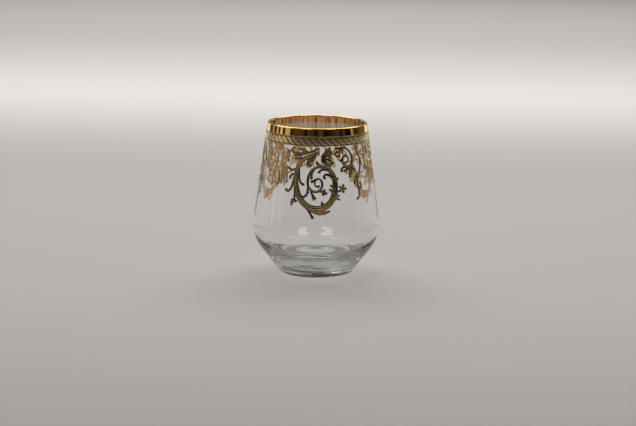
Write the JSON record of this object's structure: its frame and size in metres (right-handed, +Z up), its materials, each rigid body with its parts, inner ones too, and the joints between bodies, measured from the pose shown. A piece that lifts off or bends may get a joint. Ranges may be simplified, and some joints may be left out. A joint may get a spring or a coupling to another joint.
{
  "type": "tumbler",
  "caption": "Clear stemless glass tumbler, heavy base and round shoulder, with gilded lip, plain and chased gold bands and a hanging frieze of raised gold scrolls; holds a drink.",
  "frame": {"origin": "centre of the base on the surface that the tumbler stands on", "axes": "+Z up along the axis of the glass, -Y towards the front scroll"},
  "size_m": [0.0864, 0.0864, 0.1043],
  "materials": {
    "clear_glass": "clear fire-polished glass",
    "bright_gold": "mirror-bright burnished gold film",
    "chased_gold": "satin gold with a chased relief",
    "raised_gold": "raised gold, satin with bright edges"
  },
  "bodies": {
    "root": {"glass_body": "clear_glass", "lip_gilding": "bright_gold", "bright_band": "bright_gold", "chased_band": "chased_gold", "great_scroll_1": "raised_gold", "great_scroll_2": "raised_gold", "great_scroll_3": "raised_gold", "crown_leaf_1": "raised_gold", "crown_leaf_2": "raised_gold", "crown_leaf_3": "raised_gold", "hanging_leaf_1": "raised_gold", "hanging_leaf_2": "raised_gold", "hanging_leaf_3": "raised_gold", "volute_1": "raised_gold", "volute_2": "raised_gold", "volute_3": "raised_gold", "tendril_1": "raised_gold", "tendril_2": "raised_gold", "tendril_3": "raised_gold", "palmette_1": "raised_gold", "palmette_2": "raised_gold", "palmette_3": "raised_gold"}
  },
  "joints": []
}
